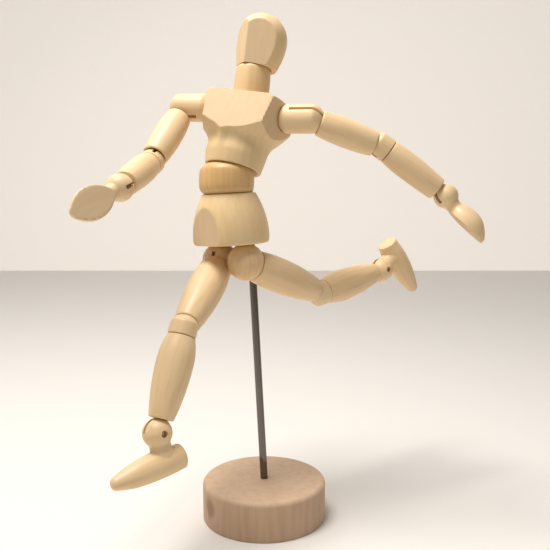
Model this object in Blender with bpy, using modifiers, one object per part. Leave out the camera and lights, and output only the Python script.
"""Artist mannequin on a stand, built as separate turned pieces on pins and springs.

Metres, +Z up. The origin is the middle of the underside of the base, and the pelvis faces -Y.
Left and right are the figure's own, so the left side is at +X.
"""
import math

import bpy
from mathutils import Matrix, Vector

MM = 0.001
GAP = 0.3 * MM
TURN_STEPS = 20
BODY_STEPS = 28
BASE_STEPS = 36
ARC_STEPS = 3

# stand
BASE_RADIUS = 37.5 * MM
BASE_HEIGHT = 23.5 * MM
BASE_EDGE = 2.5 * MM
ROD_RADIUS = 2.25 * MM
ROD_LEAN = 3.0
ROD_LEAN_AZIMUTH = -149.0
ROD_SOCKET = 16 * MM
ROD_TO_HIPS = 135.9 * MM
ROD_BEHIND_HIPS = 14.8 * MM
ROD_IN_PELVIS = 13 * MM

# pelvis, measured upward from the line between the two hip balls
PELVIS_FACING = -100.0
HIP_SPACING = 22.6 * MM
HIP_RADIUS = 10.7 * MM
PELVIS_BOTTOM = 10.4 * MM
PELVIS_HEIGHT = 28.7 * MM
PELVIS_RADIUS = 22 * MM
PELVIS_TOP_RADIUS = 15.3 * MM
PELVIS_FACET = 18.6 * MM
PELVIS_BORE_START = 8 * MM

# waist and neck are barrels whose domed ends slide in shallow sockets
WAIST_RADIUS = 15.5 * MM
WAIST_BAND = 11.9 * MM
WAIST_DOME = 22 * MM
WAIST_SOCKET = 14.4 * MM
NECK_RADIUS = 10.1 * MM
NECK_BAND = 16.6 * MM
NECK_DOME = 14 * MM
NECK_SOCKET = 9.4 * MM

# chest, measured upward from its lower rim
CHEST_HEIGHT = 41.9 * MM
CHEST_RIM = 16.3 * MM
CHEST_RADIUS = 28.5 * MM
CHEST_TOP_RADIUS = 21.5 * MM
CHEST_FRONT_FACET = 18.4 * MM
CHEST_FRONT_LEAN = 14.0
CHEST_SIDE_FACET = 22.6 * MM
CHEST_SIDE_LEAN = 3.0
CHEST_SIDE_FORWARD = 17.0
SHOULDER_HEIGHT = 33.3 * MM
SHOULDER_REACH = 38.3 * MM
SHOULDER_BORE = 3.0 * MM
CHEST_BORE_END = 16 * MM
CHEST_FRONT_HEIGHT = 24 * MM
CHEST_SIDE_HEIGHT = 30 * MM
NECK_BORE_DEPTH = 6.5 * MM

# head, measured upward from its underside
HEAD_HEIGHT = 31.6 * MM
HEAD_WIDEST = 15.5 * MM
HEAD_RIM = 12.2 * MM
HEAD_RADIUS = 15.2 * MM
HEAD_FACET = 11.2 * MM
HEAD_FACET_LEAN = 6.0
HEAD_FACET_ANGLE = 30.5

# arms
SHOULDER_RADIUS = 8.2 * MM
SHOULDER_DOME = 9.0 * MM
SHOULDER_BACK = 18.4 * MM
UPPER_ARM_LENGTH = 45.6 * MM
FOREARM_LENGTH = 45.8 * MM
RIGHT_STAND_OFF = 2.9 * MM
ELBOW_RADIUS = 7.2 * MM
ELBOW_DOME = 8.2 * MM
ELBOW_SKIRT = 3.5 * MM
WRIST_RADIUS = 7.2 * MM
HAND_LENGTH = 34.0 * MM
HAND_RADIUS = 8.5 * MM
HAND_NECK = 4.3 * MM

# legs
THIGH_LENGTH = 61.5 * MM
SHIN_LENGTH = 54.2 * MM
KNEE_RADIUS = 7.7 * MM
KNEE_DOME = 8.6 * MM
KNEE_SKIRT = 2.9 * MM
ANKLE_RADIUS = 7.7 * MM
FOOT_LENGTH = 41 * MM
FOOT_HEEL = 10.5 * MM
FOOT_RADIUS = 8.0 * MM
FOOT_NECK = 5.6 * MM
FOOT_AXIS_DROP = 15.8 * MM
SOLE_DROP = 21.4 * MM

# pins, hooks and springs
PIN_RADIUS = 0.6 * MM
PIN_HALF = 3.4 * MM
HIP_PIN_HALF = 5.4 * MM
ANKLE_PIN_HALF = 5.4 * MM
PIN_HOLE = 0.9 * MM
ANKLE_HOLE = 1.8 * MM
WIRE_RADIUS = 0.4 * MM
HOOK_RADIUS = 1.25 * MM
SLOT_HALF = 1.0 * MM
SLOT_DEPTH = 2.0 * MM
SPRING_RADIUS = 2.2 * MM
SPRING_BORE = 2.8 * MM
TORSO_BORE = SPRING_RADIUS + 4 * GAP
SPRING_BELOW_SOCKET = 5.5 * MM
WEB_HOLE = 1.0 * MM
HIP_WIRE_RADIUS = 0.9 * MM
HIP_WIRE_BORE = 1.6 * MM
HIP_WIRE_START = 6 * MM
HIP_WIRE_END = 21 * MM
SHOULDER_WIRE_HOLE = 1.9 * MM

# how each length of the figure points: azimuth from +X toward +Y, then elevation, in degrees
DIRECTIONS = {
    "right_thigh": (-72, -31),
    "right_shin": (-82, -64),
    "right_toe": (-103, -7),
    "left_thigh": (74, -22),
    "left_shin": (74, 11),
    "left_toe": (71, -56),
    "right_shoulder": (198, 2),
    "right_upper_arm": (-80, -43),
    "right_forearm": (-65, -17),
    "right_hand": (-86, -21),
    "right_palm": (-40, 2),
    "left_shoulder": (18, -1),
    "left_upper_arm": (41, -20),
    "left_forearm": (37, -37),
    "left_hand": (14, -52),
    "left_palm": (-146, -42),
}
ANKLE_PINS = {"right": (-14, 11), "left": (-4, 10)}
# how far each upright piece leans, toward which azimuth, and which azimuth its front faces
UPRIGHTS = {
    "waist": (7.0, 116, -86),
    "chest": (17.6, 82, -72),
    "neck": (11.2, 97, -80),
    "head": (14.0, 70, -92),
}
# how far the middle of each sawn slot turns about its pin from the rest pose of the limb it holds
HIP_SLOT_TURN = {"right": -11, "left": 17}
BEND_SLOT_TURN = -12

WOOD = (0.80, 0.58, 0.34)
WOOD_SANDED = (0.80, 0.60, 0.42)
WOOD_AMBER = (0.74, 0.47, 0.22)
WOOD_BASE = (0.72, 0.50, 0.34)
STEEL = (0.62, 0.62, 0.62)

bones = {}


def clear_scene():
    """Remove everything that a new file starts with."""
    for thing in list(bpy.data.objects):
        bpy.data.objects.remove(thing, do_unlink=True)


def new_collection(name):
    """A collection linked to the scene."""
    group = bpy.data.collections.new(name)
    bpy.context.scene.collection.children.link(group)
    return group


clear_scene()
PARTS = new_collection("artist_mannequin")
CUTTERS = new_collection("cutters")


# ---------------------------------------------------------------- directions and frames
def aim(azimuth, elevation):
    """The unit vector with this azimuth and elevation, in degrees."""
    a, e = math.radians(azimuth), math.radians(elevation)
    return Vector((math.cos(e) * math.cos(a), math.cos(e) * math.sin(a), math.sin(e)))


def square(vector, axis):
    """The part of a vector that is square to an axis, at unit length."""
    return (vector - vector.dot(axis) * axis).normalized()


def frame_matrix(origin, x_axis, z_axis):
    """A right-handed frame from its origin, X axis and Z axis."""
    z = z_axis.normalized()
    x = square(x_axis, z)
    y = z.cross(x)
    matrix = Matrix((x, y, z)).transposed().to_4x4()
    matrix.translation = origin
    return matrix


def leaning(lean, toward, facing):
    """X and Z axes of an upright piece that leans toward one azimuth and faces another."""
    z = aim(toward, 90 - lean)
    front = square(aim(facing, 0), z)
    return front.cross(z) * -1, z


def bone(name, parent, origin, x_axis, z_axis):
    """An empty that carries one moving piece, with its origin on the joint's axis."""
    world = frame_matrix(origin, x_axis, z_axis)
    empty = bpy.data.objects.new(name, None)
    empty.empty_display_size = 5 * MM
    PARTS.objects.link(empty)
    if parent:
        empty.parent = bones[parent][0]
        empty.matrix_basis = bones[parent][1].inverted() @ world
    else:
        empty.matrix_basis = world
    bones[name] = (empty, world)
    return world


def along(name, distance):
    """The world point at a distance up a bone's Z axis."""
    return bones[name][1] @ Vector((0, 0, distance))


def axis_of(name, index):
    """The world direction of one axis of a bone."""
    return bones[name][1].col[index].to_3d()


# ---------------------------------------------------------------- materials and objects
def finish(part, colour, roughness=0.45, metallic=0.0):
    """Give a part its own Principled material."""
    material = bpy.data.materials.new(part.name)
    material.use_nodes = True
    shader = material.node_tree.nodes["Principled BSDF"]
    shader.inputs["Base Color"].default_value = (*colour, 1)
    shader.inputs["Roughness"].default_value = roughness
    shader.inputs["Metallic"].default_value = metallic
    part.data.materials.append(material)
    return part


def steel(part):
    """Polished steel."""
    return finish(part, STEEL, 0.2, 1.0)


def hang(part, carrier, local=Matrix(), group=PARTS):
    """Put an object in its collection, and on the bone that carries it."""
    group.objects.link(part)
    part.parent = bones[carrier][0]
    part.matrix_basis = local
    return part


def arc(centre_z, radius, start, end, steps=ARC_STEPS, centre_r=0.0):
    """Points of an arc in the turning plane. Angles are from +Z toward +R, in degrees."""
    angles = [math.radians(start + (end - start) * i / steps) for i in range(steps + 1)]
    return [(centre_r + radius * math.sin(a), centre_z + radius * math.cos(a)) for a in angles]


def belly(start, middle, end, steps=6):
    """A bulging side through three points, with its widest place at the middle one."""
    points = []
    for i in range(steps + 1):
        z = start[1] + (end[1] - start[1]) * i / steps
        near = start if z < middle[1] else end
        t = (z - middle[1]) / (near[1] - middle[1])
        points.append((middle[0] - (middle[0] - near[0]) * t * t, z))
    return points


def winding(outline):
    """Twice the area inside an outline, negative when it runs the wrong way to spin."""
    following = outline[1:] + outline[:1]
    return sum(b[0] * a[1] - a[0] * b[1] for a, b in zip(outline, following))


def turned(name, outline, carrier, local=Matrix(), steps=TURN_STEPS, ring=False, group=PARTS):
    """A turned solid: an outline spun about the carrier's Z axis."""
    if winding(outline) < 0:
        outline = outline[::-1]
    mesh = bpy.data.meshes.new(name)
    edges = [(i, i + 1) for i in range(len(outline) - 1)]
    if ring:
        edges.append((len(outline) - 1, 0))
    mesh.from_pydata([(r, 0, z) for r, z in outline], edges, [])
    part = hang(bpy.data.objects.new(name, mesh), carrier, local, group)
    screw = part.modifiers.new("turning", "SCREW")
    screw.axis = "Z"
    screw.steps = steps
    screw.render_steps = steps
    screw.use_merge_vertices = True
    screw.merge_threshold = 0.00001
    screw.use_smooth_shade = False
    return part


def hidden(cutter):
    """Mark an object as a cutter."""
    cutter.hide_render = True
    cutter.display_type = "WIRE"
    return cutter


def box_cutter(name, carrier, low, high, local=Matrix()):
    """A box between two corners of the carrier's frame, or of a frame within it."""
    bpy.ops.mesh.primitive_cube_add(size=1)
    box = bpy.context.active_object
    box.name = name
    for group in list(box.users_collection):
        group.objects.unlink(box)
    size = Vector(high) - Vector(low)
    middle = (Vector(high) + Vector(low)) / 2
    place = local @ Matrix.Translation(middle) @ Matrix.Diagonal((*size, 1))
    return hidden(hang(box, carrier, place, CUTTERS))


def ball_cutter(name, carrier, centre, radius, steps=TURN_STEPS):
    """A ball about a point of the carrier's Z axis."""
    outline = arc(centre, radius, 0, 180, 12)
    outline[0], outline[-1] = (0, outline[0][1]), (0, outline[-1][1])
    return hidden(turned(name, outline, carrier, steps=steps, group=CUTTERS))


def rod_outline(radius, low, high):
    """The outline of a plain cylinder."""
    return [(0, low), (radius, low), (radius, high), (0, high)]


def rod_cutter(name, carrier, radius, low, high, local=Matrix(), steps=12):
    """A cylinder along Z of the carrier's frame, or of a frame within it."""
    outline = rod_outline(radius, low, high)
    return hidden(turned(name, outline, carrier, local, steps=steps, group=CUTTERS))


def boolean(part, tool, operation="DIFFERENCE"):
    """Cut a tool from a part, or join it on."""
    cut = part.modifiers.new(tool.name, "BOOLEAN")
    cut.operation = operation
    cut.solver = "EXACT"
    cut.object = tool


ALONG_X = Matrix.Rotation(math.radians(90), 4, "Y")


def pin(name, carrier, half, local=Matrix()):
    """A steel cross pin along X."""
    return steel(turned(name, rod_outline(PIN_RADIUS, -half, half), carrier, local @ ALONG_X, steps=10))


def pin_hole(part, carrier, half):
    """The hole that a cross pin sits in, closed at both ends."""
    boolean(part, rod_cutter(part.name + "_pin_hole", carrier, PIN_HOLE, -half - GAP, half + GAP, ALONG_X))


def slot(part, carrier, low, reach, angle=0.0):
    """A saw cut square to the pin, from below the pin out past the piece in the direction of Z."""
    turn = Matrix.Rotation(math.radians(angle), 4, "X")
    boolean(part, box_cutter(part.name + "_slot", carrier, (-SLOT_HALF, -reach, low),
                             (SLOT_HALF, reach, reach), turn))


def quarter_slot(part, carrier, limb_direction, turn, reach):
    """A saw cut a quarter turn wide, whose middle is turned about the pin from a limb's direction."""
    angle = math.degrees(math.atan2(-limb_direction.dot(axis_of(carrier, 1)),
                                    limb_direction.dot(axis_of(carrier, 2))))
    quarter = Matrix.Rotation(math.radians(angle + turn + 45), 4, "X")
    boolean(part, box_cutter(part.name + "_slot", carrier, (-SLOT_HALF, -SLOT_DEPTH, -SLOT_DEPTH),
                             (SLOT_HALF, reach, reach), quarter))


def cup(dome, mouth, floor, centre_z=0.0, side=1):
    """The hollow end of a limb, from its bore out to its mouth."""
    radius = dome + GAP
    start = math.degrees(math.asin(floor / radius))
    end = math.degrees(math.asin(mouth / radius))
    return [(r, centre_z + side * z) for r, z in arc(0, radius, start, end)]


def rounded_rim(radius, rim_z, edge, side):
    """The outer corner of a limb's end, from its flat face to its side."""
    tilt = math.cos(math.radians(45))
    return [
        (radius - edge, rim_z),
        (radius - edge * (1 - tilt), rim_z + side * edge * (1 - tilt)),
        (radius, rim_z + side * edge),
    ]


def limb(name, carrier, start, widest, end):
    """A hollow turned limb. Each end is (dome or None, mouth, outer radius, joint centre or face)."""
    edge = 0.8 * MM
    dome, mouth, radius, face = start
    low = cup(dome, mouth, SPRING_BORE, face) if dome else [(SPRING_BORE, face)]
    low_z = low[-1][1]
    low += rounded_rim(radius, low_z, edge, 1)
    end_dome, end_mouth, end_radius, centre = end
    high = cup(end_dome, end_mouth, SPRING_BORE, centre, -1)
    high_z = high[-1][1]
    high += rounded_rim(end_radius, high_z, edge, -1)
    high.reverse()
    side = belly(low[-1], widest, high[0])
    return turned(name, low + side[1:-1] + high, carrier, ring=True)


def wire(name, carrier, points, local=Matrix()):
    """Steel wire through points with their own radii; a coil is a length with the coil's radius."""
    curve = bpy.data.curves.new(name, "CURVE")
    curve.dimensions = "3D"
    curve.bevel_depth = 1.0
    curve.bevel_resolution = 1
    curve.use_fill_caps = True
    spline = curve.splines.new("POLY")
    spline.points.add(len(points) - 1)
    for spot, (place, radius) in zip(spline.points, points):
        spot.co = (*place, 1)
        spot.radius = radius
    return steel(hang(bpy.data.objects.new(name, curve), carrier, local))


def hook(centre_z, side, twist):
    """The points of a hook around a pin, from its open end to where it meets the axis."""
    turn = Matrix.Rotation(math.radians(twist), 3, "Z")
    points = []
    for degrees in range(-320, -39, 40):
        a = math.radians(degrees)
        place = Vector((0, -HOOK_RADIUS * math.sin(a), side * HOOK_RADIUS * math.cos(a)))
        points.append((turn @ place + Vector((0, 0, centre_z)), WIRE_RADIUS))
    lead = HOOK_RADIUS * 2.6
    points.append((Vector((0, 0, centre_z + side * lead)), WIRE_RADIUS))
    return points


def coil(low, high):
    """The straight length of a spring, at the radius of its coil."""
    taper = 1.2 * MM
    return [
        (Vector((0, 0, low)), WIRE_RADIUS),
        (Vector((0, 0, low + taper)), SPRING_RADIUS),
        (Vector((0, 0, high - taper)), SPRING_RADIUS),
        (Vector((0, 0, high)), WIRE_RADIUS),
    ]


def limb_spring(name, carrier, start, length, end_twist):
    """A spring with a hook at the far pin, and a hook or a plain end at the near one."""
    near = hook(0, 1, 0) if start is None else [(Vector((0, 0, start)), WIRE_RADIUS)]
    first = 12 * MM if start is None else start + 4 * MM
    far = hook(length, -1, end_twist)
    far.reverse()
    return wire(name, carrier, near + coil(first, length - 12 * MM) + far)


def twist_between(carrier, direction):
    """The angle about a bone's Z axis from its X axis to a direction, in degrees."""
    return math.degrees(math.atan2(direction.dot(axis_of(carrier, 1)), direction.dot(axis_of(carrier, 0))))


# ---------------------------------------------------------------- bones, from the base up
def place_bones():
    """The rest pose: a bone for every piece that moves."""
    across = Vector((1, 0, 0))
    bone("stand", None, Vector((0, 0, 0)), across, Vector((0, 0, 1)))
    rod_up = aim(ROD_LEAN_AZIMUTH, 90 - ROD_LEAN)
    bone("rod_axis", "stand", Vector((0, 0, BASE_HEIGHT)), across, rod_up)
    sideways = aim(PELVIS_FACING + 90, 0)
    bone("pelvis_turn", "rod_axis", along("rod_axis", ROD_TO_HIPS), sideways, rod_up)
    hips = bones["pelvis_turn"][1] @ Vector((0, -ROD_BEHIND_HIPS, 0))
    bone("pelvis_bone", "pelvis_turn", hips, sideways, rod_up)
    place_torso()
    for side, sign in (("right", -1), ("left", 1)):
        place_leg(side, sign)
        place_arm(side, sign)


def dome_depth(dome, radius):
    """How far inside a barrel's corner the centre of its dome lies."""
    return math.sqrt(dome ** 2 - radius ** 2)


def place_torso():
    """Waist, chest, neck and head, each on the centre of the dome that it slides on."""
    socket = math.sqrt((WAIST_DOME + GAP) ** 2 - WAIST_SOCKET ** 2)
    pivot = along("pelvis_bone", PELVIS_BOTTOM + PELVIS_HEIGHT + socket)
    bone("waist_bone", "pelvis_bone", pivot, *leaning(*UPRIGHTS["waist"]))
    between = 2 * dome_depth(WAIST_DOME, WAIST_RADIUS) - WAIST_BAND
    bone("chest_bone", "waist_bone", along("waist_bone", -between), *leaning(*UPRIGHTS["chest"]))
    neck_socket = math.sqrt((NECK_DOME + GAP) ** 2 - NECK_SOCKET ** 2)
    pivot = along("chest_bone", socket + CHEST_HEIGHT + neck_socket)
    bone("neck_bone", "chest_bone", pivot, *leaning(*UPRIGHTS["neck"]))
    between = 2 * dome_depth(NECK_DOME, NECK_RADIUS) - NECK_BAND
    bone("head_bone", "neck_bone", along("neck_bone", -between), *leaning(*UPRIGHTS["head"]))


def place_leg(side, sign):
    """Hip ball, thigh, knee, shin and foot."""
    hip = bones["pelvis_bone"][1] @ Vector((sign * HIP_SPACING / 2, 0, 0))
    thigh, shin = aim(*DIRECTIONS[side + "_thigh"]), aim(*DIRECTIONS[side + "_shin"])
    up = axis_of("pelvis_bone", 2)
    hip_pin = square(thigh.cross(up) * sign, up)
    bone(side + "_hip_bone", "pelvis_bone", hip, hip_pin, up)
    bone(side + "_thigh_bone", side + "_hip_bone", hip, hip_pin, thigh)
    knee = along(side + "_thigh_bone", THIGH_LENGTH)
    bend = thigh.cross(shin)
    bone(side + "_knee_bone", side + "_thigh_bone", knee, bend, shin)
    bone(side + "_shin_bone", side + "_knee_bone", knee, bend, shin)
    ankle_pin = square(aim(*ANKLE_PINS[side]), shin)
    toe = square(aim(*DIRECTIONS[side + "_toe"]), ankle_pin)
    bone(side + "_foot_bone", side + "_shin_bone", along(side + "_shin_bone", SHIN_LENGTH),
         ankle_pin, toe.cross(ankle_pin))


def place_arm(side, sign):
    """Shoulder piece, upper arm, elbow, forearm and hand."""
    floor = dome_depth(WAIST_DOME + GAP, WAIST_SOCKET)
    back = SHOULDER_BACK - SHOULDER_DOME
    outward = aim(*DIRECTIONS[side + "_shoulder"])
    socket = bones["chest_bone"][1] @ Vector((sign * (SHOULDER_REACH - back), 0, floor + SHOULDER_HEIGHT))
    shoulder = socket + outward * back
    upper, lower = aim(*DIRECTIONS[side + "_upper_arm"]), aim(*DIRECTIONS[side + "_forearm"])
    hand = aim(*DIRECTIONS[side + "_hand"])
    lift_pin = outward.cross(upper).normalized()
    bone(side + "_shoulder_bone", "chest_bone", shoulder, lift_pin, outward)
    bone(side + "_upper_arm_bone", side + "_shoulder_bone", shoulder, lift_pin, upper)
    reach = UPPER_ARM_LENGTH + (RIGHT_STAND_OFF if side == "right" else 0)
    elbow = along(side + "_upper_arm_bone", reach)
    bend = upper.cross(lower)
    bone(side + "_elbow_bone", side + "_upper_arm_bone", elbow, bend, lower)
    bone(side + "_forearm_bone", side + "_elbow_bone", elbow, bend, lower)
    bone(side + "_hand_bone", side + "_forearm_bone", along(side + "_forearm_bone", FOREARM_LENGTH),
         lower.cross(hand), hand)


# ---------------------------------------------------------------- stand and torso
def build_stand():
    """The base, and the rod pressed into it."""
    outline = [(0, 0), (BASE_RADIUS - MM, 0), (BASE_RADIUS, MM)]
    outline += reversed(arc(BASE_HEIGHT - BASE_EDGE, BASE_EDGE, 0, 90, 4, BASE_RADIUS - BASE_EDGE))
    outline += [(0, BASE_HEIGHT)]
    base = finish(turned("base", outline, "stand", steps=BASE_STEPS), WOOD_BASE, 0.55)
    boolean(base, rod_cutter("base_rod_hole", "rod_axis", ROD_RADIUS + GAP, -ROD_SOCKET - GAP, 5 * MM))
    top = ROD_TO_HIPS + PELVIS_BOTTOM + ROD_IN_PELVIS
    steel(turned("rod", rod_outline(ROD_RADIUS, -ROD_SOCKET, top), "rod_axis", steps=16))


def build_pelvis():
    """A turned block with a flat front, sockets for both hip balls and a hole for the rod."""
    edge = 1.5 * MM
    top = PELVIS_BOTTOM + PELVIS_HEIGHT
    outline = [(0, PELVIS_BOTTOM), (PELVIS_RADIUS - edge, PELVIS_BOTTOM)]
    outline += [(PELVIS_RADIUS - edge * 0.3, PELVIS_BOTTOM + edge * 0.3)]
    outline += belly((PELVIS_RADIUS - 0.2 * MM, PELVIS_BOTTOM + edge),
                     (PELVIS_RADIUS, PELVIS_BOTTOM + 4 * MM), (PELVIS_TOP_RADIUS, top), 7)
    centre = top + dome_depth(WAIST_DOME + GAP, WAIST_SOCKET)
    outline += reversed(cup(WAIST_DOME, WAIST_SOCKET, TORSO_BORE, centre, -1))
    bore_end = PELVIS_BOTTOM + PELVIS_BORE_START
    outline += [(TORSO_BORE, bore_end), (0, bore_end)]
    pelvis = finish(turned("pelvis", outline, "pelvis_bone", steps=BODY_STEPS), WOOD_SANDED)
    boolean(pelvis, box_cutter("pelvis_front", "pelvis_bone", (-0.04, -0.04, 0),
                               (0.04, -PELVIS_FACET, 0.06)))
    boolean(pelvis, rod_cutter("pelvis_rod_hole", "pelvis_turn", ROD_RADIUS + GAP, 0,
                               PELVIS_BOTTOM + ROD_IN_PELVIS + GAP))
    for side in ("right", "left"):
        carrier = side + "_hip_bone"
        boolean(pelvis, ball_cutter(side + "_hip_socket", carrier, 0, HIP_RADIUS + GAP))
        boolean(pelvis, rod_cutter(side + "_hip_bore", carrier, HIP_WIRE_BORE, HIP_WIRE_START - MM,
                                   HIP_WIRE_END + MM))
        wire("hip_wire_" + side, carrier,
             [(Vector((0, 0, z)), HIP_WIRE_RADIUS) for z in (HIP_WIRE_START, HIP_WIRE_END)])
    wire("spring_pelvis", "pelvis_bone", coil(bore_end + MM, top - SPRING_BELOW_SOCKET))


def barrel(name, carrier, radius, dome, band, colour):
    """A barrel with two domed ends, hung from the centre of its lower dome."""
    depth = dome_depth(dome, radius)
    low, high = -depth, -depth + band
    bore = SPRING_RADIUS + 2 * GAP
    corner = math.degrees(math.asin(radius / dome))
    inner = math.degrees(math.asin(bore / dome))
    outline = arc(0, dome, 180 - inner, 180 - corner, 4)
    outline += [(radius + 0.3 * MM, (low + high) / 2)]
    outline += arc(high - depth, dome, corner, inner, 4)
    finish(turned(name, outline, carrier, steps=BODY_STEPS, ring=True), colour)
    ends = dome - 1.2 * MM
    wire("spring_" + name, carrier, coil(-ends, high - depth + ends))


def build_chest():
    """A turned bell with a flat leaning front and two flat sides that take the shoulder pieces."""
    floor = dome_depth(WAIST_DOME + GAP, WAIST_SOCKET)
    top = floor + CHEST_HEIGHT
    outline = [(0, floor + CHEST_BORE_END), (TORSO_BORE, floor + CHEST_BORE_END)]
    outline += cup(WAIST_DOME, WAIST_SOCKET, TORSO_BORE)
    outline += [(CHEST_RIM - 0.5 * MM, floor), (CHEST_RIM, floor + 0.6 * MM)]
    flare = [(1.1, 6.8), (1.9, 12.2), (3.8, 16.4), (7.8, 21)]
    outline += [(CHEST_RIM + out * MM, floor + up * MM) for out, up in flare]
    outline += arc(floor + 29 * MM, 7 * MM, 120, 90, 2, CHEST_RADIUS - 7 * MM)
    outline += arc(top - 9 * MM, 9 * MM, 90, 15, 4, CHEST_RADIUS - 9 * MM)
    outline += [(CHEST_TOP_RADIUS, top)]
    neck = top + dome_depth(NECK_DOME + GAP, NECK_SOCKET)
    outline += reversed(cup(NECK_DOME, NECK_SOCKET, TORSO_BORE, neck, -1))
    outline += [(TORSO_BORE, top - NECK_BORE_DEPTH), (0, top - NECK_BORE_DEPTH)]
    chest = finish(turned("chest", outline, "chest_bone", steps=BODY_STEPS), WOOD_SANDED)
    boolean(chest, facet("chest_front", "chest_bone", -90, CHEST_FRONT_FACET, -CHEST_FRONT_LEAN,
                         floor + CHEST_FRONT_HEIGHT))
    for side, azimuth in (("right", 180 + CHEST_SIDE_FORWARD), ("left", -CHEST_SIDE_FORWARD)):
        boolean(chest, facet(side + "_chest_side", "chest_bone", azimuth, CHEST_SIDE_FACET,
                             CHEST_SIDE_LEAN, floor + CHEST_SIDE_HEIGHT))
        boolean(chest, ball_cutter(side + "_shoulder_socket", side + "_shoulder_bone",
                                   SHOULDER_DOME - SHOULDER_BACK, SHOULDER_DOME + GAP))
    across = Matrix.Translation((0, 0, floor + SHOULDER_HEIGHT)) @ ALONG_X
    boolean(chest, rod_cutter("shoulder_bore", "chest_bone", SHOULDER_BORE, -0.025, 0.025, across))
    reach = SHOULDER_REACH - SHOULDER_BACK
    first, last = ((Vector((0, 0, sign * (reach + 2 * MM))), WIRE_RADIUS) for sign in (-1, 1))
    middle = coil(-reach + 3 * MM, reach - 3 * MM)
    wire("spring_shoulders", "chest_bone", [first] + middle + [last], across)
    wire("spring_chest", "chest_bone", coil(floor + SPRING_BELOW_SOCKET, floor + CHEST_BORE_END - MM))


def facet(name, carrier, azimuth, distance, lean, height, below=0.05):
    """A box that cuts a flat along a piece. A positive lean faces the flat back toward the carrier."""
    place = Matrix.Rotation(math.radians(azimuth), 4, "Z") @ Matrix.Translation((distance, 0, height))
    place = place @ Matrix.Rotation(math.radians(lean), 4, "Y")
    return box_cutter(name, carrier, (0, -0.05, -below), (0.03, 0.05, 0.05), place)


def build_head():
    """A turned egg with two flat cuts that meet in a ridge down the face."""
    floor = dome_depth(NECK_DOME + GAP, NECK_SOCKET)
    top = floor + HEAD_HEIGHT
    outline = [(0, floor + 8 * MM), (TORSO_BORE, floor + 8 * MM)]
    outline += cup(NECK_DOME, NECK_SOCKET, TORSO_BORE)
    outline += [(HEAD_RIM - 0.6 * MM, floor)]
    widest = floor + HEAD_WIDEST
    cheek = belly((HEAD_RIM, floor + 0.6 * MM), (HEAD_RADIUS, widest), (HEAD_RADIUS, widest + MM), 5)
    outline += cheek[:-1]
    crown = [math.radians(a) for a in range(0, 91, 15)]
    outline += [(HEAD_RADIUS * math.cos(a), widest + (top - widest) * math.sin(a)) for a in crown[:-1]]
    outline += [(0, top)]
    head = finish(turned("head", outline, "head_bone", steps=BODY_STEPS), WOOD_SANDED)
    for side, sign in (("right", -1), ("left", 1)):
        boolean(head, facet(side + "_face", "head_bone", -90 + sign * HEAD_FACET_ANGLE, HEAD_FACET,
                            HEAD_FACET_LEAN, widest))


# ---------------------------------------------------------------- limbs
def joint_barrel(name, carrier, radius, dome, skirt, limb_direction):
    """A knee or elbow: one domed end with a sawn slot, and a flat end."""
    corner = math.degrees(math.asin(radius / dome))
    outline = [(0, -dome)] + arc(0, dome, 180 - corner / 3, 180 - corner, 3)
    outline += [(radius, skirt - 0.4 * MM), (radius - 0.4 * MM, skirt), (0, skirt)]
    part = finish(turned(name, outline, carrier), WOOD)
    quarter_slot(part, carrier, limb_direction * -1, BEND_SLOT_TURN, 12 * MM)
    pin_hole(part, carrier, PIN_HALF)
    boolean(part, rod_cutter(name + "_web_hole", carrier, WEB_HOLE, SLOT_DEPTH - GAP, skirt + MM))
    pin("pin_" + name, carrier, PIN_HALF)


def build_arm(side):
    """One arm, from the shoulder piece to the hand."""
    carrier = side + "_shoulder_bone"
    corner = math.degrees(math.asin(SHOULDER_RADIUS / SHOULDER_DOME))
    outline = [(0, SHOULDER_DOME)] + arc(0, SHOULDER_DOME, corner / 3, corner, 3)
    outline += arc(SHOULDER_DOME - SHOULDER_BACK, SHOULDER_DOME, 180 - corner, 180 - corner / 3, 3)
    outline += [(0, -SHOULDER_BACK)]
    shoulder = finish(turned("shoulder_" + side, outline, carrier), WOOD)
    slot(shoulder, carrier, -10 * MM, 14 * MM)
    pin_hole(shoulder, carrier, PIN_HALF)
    boolean(shoulder, rod_cutter(side + "_shoulder_wire", carrier, SHOULDER_WIRE_HOLE,
                                 -SHOULDER_BACK - MM, -12 * MM))
    pin("pin_shoulder_" + side, carrier, PIN_HALF)

    carrier = side + "_upper_arm_bone"
    off = RIGHT_STAND_OFF if side == "right" else 0
    reach = UPPER_ARM_LENGTH + off
    start = (SHOULDER_DOME, 6.7 * MM, 7.4 * MM, off)
    finish(limb("upper_arm_" + side, carrier, start, (8.4 * MM, off + 22 * MM),
                (ELBOW_DOME, 6.5 * MM, 7.3 * MM, reach)), WOOD)
    twist = twist_between(carrier, axis_of(side + "_elbow_bone", 0))
    limb_spring("spring_upper_arm_" + side, carrier, None, reach, twist)
    joint_barrel("elbow_" + side, side + "_elbow_bone", ELBOW_RADIUS, ELBOW_DOME, ELBOW_SKIRT,
                 axis_of(carrier, 2))

    carrier = side + "_forearm_bone"
    start = (None, 0, 7.1 * MM, ELBOW_SKIRT + GAP)
    finish(limb("forearm_" + side, carrier, start, (7.8 * MM, 15 * MM),
                (WRIST_RADIUS, 3.6 * MM, 6.8 * MM, FOREARM_LENGTH)), WOOD)
    twist = twist_between(carrier, axis_of(side + "_hand_bone", 0))
    limb_spring("spring_forearm_" + side, carrier, SLOT_DEPTH + GAP, FOREARM_LENGTH, twist)
    build_hand(side)


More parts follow.
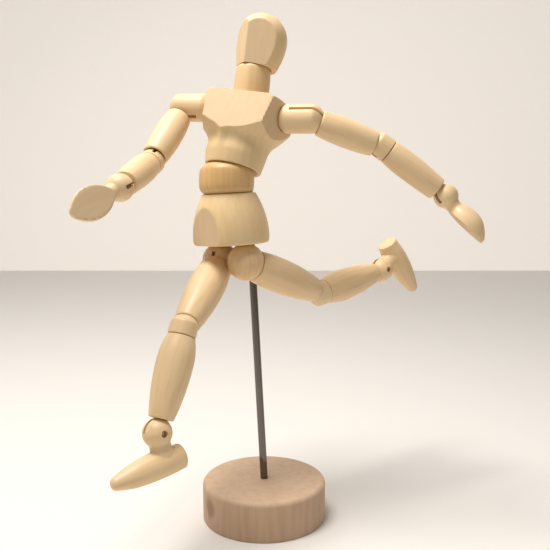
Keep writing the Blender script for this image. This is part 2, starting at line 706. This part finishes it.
def build_hand(side):
    """Wrist ball and paddle in one turned piece, with a flat palm."""
    carrier = side + "_hand_bone"
    throat = math.degrees(math.asin(HAND_NECK / WRIST_RADIUS))
    outline = [(0, -WRIST_RADIUS)] + arc(0, WRIST_RADIUS, 160, throat, 7)
    outline += [(HAND_NECK, WRIST_RADIUS + MM)]
    widest = HAND_LENGTH * 0.6
    outline += belly((HAND_NECK + 0.6 * MM, WRIST_RADIUS + 2.4 * MM), (HAND_RADIUS, widest),
                     (2.4 * MM, HAND_LENGTH - 0.8 * MM), 6)
    outline += [(0, HAND_LENGTH)]
    hand = finish(turned("hand_" + side, outline, carrier), WOOD)
    palm = twist_between(carrier, aim(*DIRECTIONS[side + "_palm"]))
    lean = math.degrees(math.atan2(HAND_NECK, HAND_LENGTH - WRIST_RADIUS))
    middle = (WRIST_RADIUS + HAND_LENGTH) / 2
    boolean(hand, facet(side + "_palm", carrier, palm, HAND_NECK / 2, -lean, middle, middle - WRIST_RADIUS))
    slot(hand, carrier, -SLOT_DEPTH, 12 * MM, 180)
    pin_hole(hand, carrier, PIN_HALF)
    pin("pin_wrist_" + side, carrier, PIN_HALF)


def build_leg(side):
    """One leg, from the hip ball to the foot."""
    carrier = side + "_hip_bone"
    outline = [(0, -HIP_RADIUS)] + arc(0, HIP_RADIUS, 165, 15, 10) + [(0, HIP_RADIUS)]
    hip = finish(turned("hip_" + side, outline, carrier), WOOD)
    quarter_slot(hip, carrier, axis_of(side + "_thigh_bone", 2), HIP_SLOT_TURN[side], 14 * MM)
    pin_hole(hip, carrier, HIP_PIN_HALF)
    boolean(hip, rod_cutter(side + "_hip_wire", carrier, HIP_WIRE_RADIUS + GAP, HIP_WIRE_START - 0.5 * MM,
                            HIP_RADIUS + MM))
    pin("pin_hip_" + side, carrier, HIP_PIN_HALF)

    carrier = side + "_thigh_bone"
    finish(limb("thigh_" + side, carrier, (HIP_RADIUS, 8.6 * MM, 9.4 * MM, 0), (10.7 * MM, 25 * MM),
                (KNEE_DOME, 6.9 * MM, 7.7 * MM, THIGH_LENGTH)), WOOD)
    twist = twist_between(carrier, axis_of(side + "_knee_bone", 0))
    limb_spring("spring_thigh_" + side, carrier, None, THIGH_LENGTH, twist)
    joint_barrel("knee_" + side, side + "_knee_bone", KNEE_RADIUS, KNEE_DOME, KNEE_SKIRT,
                 axis_of(carrier, 2))

    carrier = side + "_shin_bone"
    start = (None, 0, 7.8 * MM, KNEE_SKIRT + GAP)
    finish(limb("shin_" + side, carrier, start, (10 * MM, 17 * MM),
                (ANKLE_RADIUS, 3.6 * MM, 6.8 * MM, SHIN_LENGTH)), WOOD)
    twist = twist_between(carrier, axis_of(side + "_foot_bone", 0))
    limb_spring("spring_shin_" + side, carrier, SLOT_DEPTH + GAP, SHIN_LENGTH, twist)
    build_foot(side)


def build_foot(side):
    """A slotted ankle ball and a teardrop foot with a flat sole, in one piece. The toe is at -Y."""
    carrier = side + "_foot_bone"
    heel, toe = FOOT_HEEL, FOOT_HEEL - FOOT_LENGTH
    lying = Matrix.Translation((0, 0, -FOOT_AXIS_DROP)) @ Matrix.Rotation(math.radians(90), 4, "X")
    outline = [(0, -heel), (5.9 * MM, -heel), (6.6 * MM, -heel + 0.7 * MM)]
    outline += belly((7.1 * MM, -heel + 3 * MM), (FOOT_RADIUS, 2 * MM), (3.4 * MM, -toe - 1.6 * MM), 8)
    outline += [(1.6 * MM, -toe - 0.2 * MM), (0, -toe)]
    foot = finish(turned("foot_" + side, outline, carrier, lying), WOOD)
    ball = [(0, -ANKLE_RADIUS)] + arc(0, ANKLE_RADIUS, 162, 18, 9) + [(0, ANKLE_RADIUS)]
    boolean(foot, hidden(turned(side + "_ankle_ball", ball, carrier, group=CUTTERS)), "UNION")
    neck = turned(side + "_ankle_neck", rod_outline(FOOT_NECK, -FOOT_AXIS_DROP, 0), carrier, group=CUTTERS)
    boolean(foot, hidden(neck), "UNION")
    boolean(foot, box_cutter(side + "_sole", carrier, (-0.02, -0.05, -0.03), (0.02, 0.03, -SOLE_DROP)))
    reach = 12 * MM
    shinward = axis_of(side + "_shin_bone", 2) * -1
    angle = math.degrees(math.atan2(-shinward.dot(axis_of(carrier, 1)), shinward.dot(axis_of(carrier, 2))))
    turn = Matrix.Rotation(math.radians(angle), 4, "X")
    boolean(foot, box_cutter(side + "_ankle_slot", carrier, (-SLOT_HALF, -reach, -SLOT_DEPTH),
                             (SLOT_HALF, reach, reach), turn))
    pin_hole(foot, carrier, ANKLE_PIN_HALF)
    boolean(foot, rod_cutter(side + "_ankle_hole", carrier, ANKLE_HOLE, 4.4 * MM, 9 * MM, ALONG_X))
    pin("pin_ankle_" + side, carrier, ANKLE_PIN_HALF)


place_bones()
build_stand()
build_pelvis()
barrel("waist", "waist_bone", WAIST_RADIUS, WAIST_DOME, WAIST_BAND, WOOD_AMBER)
build_chest()
barrel("neck", "neck_bone", NECK_RADIUS, NECK_DOME, NECK_BAND, WOOD_AMBER)
build_head()
for figure_side in ("right", "left"):
    build_leg(figure_side)
    build_arm(figure_side)
